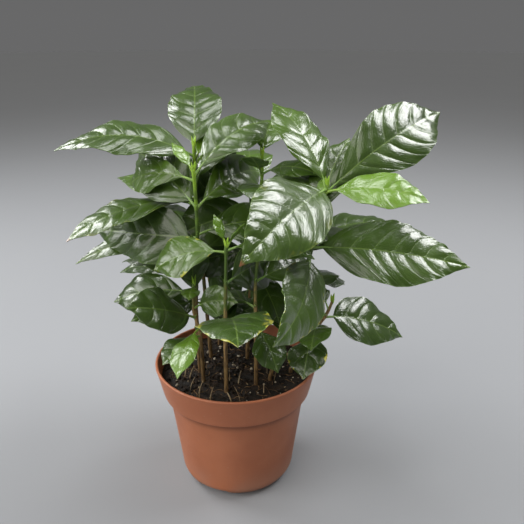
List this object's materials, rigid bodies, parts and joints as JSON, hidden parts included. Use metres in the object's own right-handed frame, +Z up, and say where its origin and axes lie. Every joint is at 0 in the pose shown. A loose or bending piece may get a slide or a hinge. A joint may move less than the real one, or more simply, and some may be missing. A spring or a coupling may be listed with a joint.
{
  "type": "potted coffee plant",
  "caption": "Bushy young coffee plant: glossy waved leaves on slim upright stems, grown from seeds sown together in a round terracotta-coloured plastic nursery pot of soil.",
  "frame": {"origin": "centre of the pot's flat underside, where it rests", "axes": "+Z up along the pot's axis; -Y is the front, the side seen in the picture; +X is to the right seen from the front"},
  "size_m": [0.2821, 0.2452, 0.2829],
  "materials": {
    "terracotta_plastic": "matte with a slight sheen",
    "potting_soil": "rough, dark and slightly damp",
    "coffee_leaf": "glossy"
  },
  "bodies": {
    "root": {"pot": "terracotta_plastic", "soil": "potting_soil", "seedling_left_tall": "coffee_leaf", "seedling_left_back": "coffee_leaf", "seedling_centre_back": "coffee_leaf", "seedling_right_tall": "coffee_leaf", "seedling_right_low": "coffee_leaf", "seedling_left_low": "coffee_leaf", "seedling_front": "coffee_leaf", "seedling_centre": "coffee_leaf", "seedling_back_left": "coffee_leaf", "seedling_back_centre": "coffee_leaf", "seedling_back_right": "coffee_leaf"}
  },
  "joints": []
}
